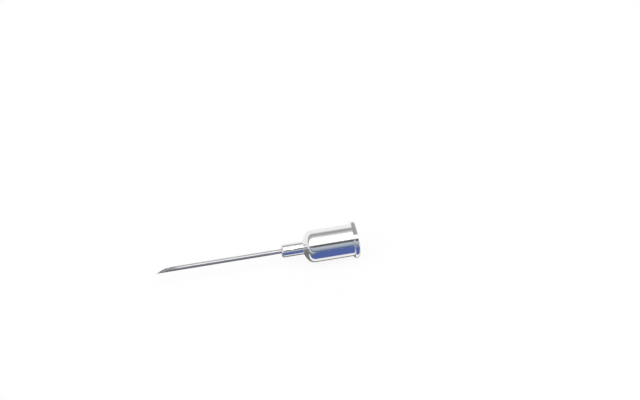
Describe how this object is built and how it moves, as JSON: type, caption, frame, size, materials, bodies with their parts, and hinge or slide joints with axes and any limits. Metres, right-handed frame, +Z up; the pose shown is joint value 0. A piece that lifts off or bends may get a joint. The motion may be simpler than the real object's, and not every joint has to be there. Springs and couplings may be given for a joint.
{
  "type": "hypodermic needle",
  "caption": "Steel cannula with a lancet point in a turned metal hub with a tapered socket and lock lugs, lying on its side.",
  "frame": {"origin": "bottom centre of the bounding box of the needle as it lies on a table", "axes": "+X along the needle from its point towards the mouth of its hub, +Z up. The needle lies on a lug flat and its shoulder, so its point dips by 0.36 degrees"},
  "size_m": [0.0404, 0.0074, 0.0066],
  "materials": {
    "hub_aluminium": "bright turned, with fine tool lines",
    "cannula_steel": "drawn and polished, with a ground point"
  },
  "bodies": {
    "root": {"hub": "hub_aluminium", "cannula": "cannula_steel"}
  },
  "joints": []
}
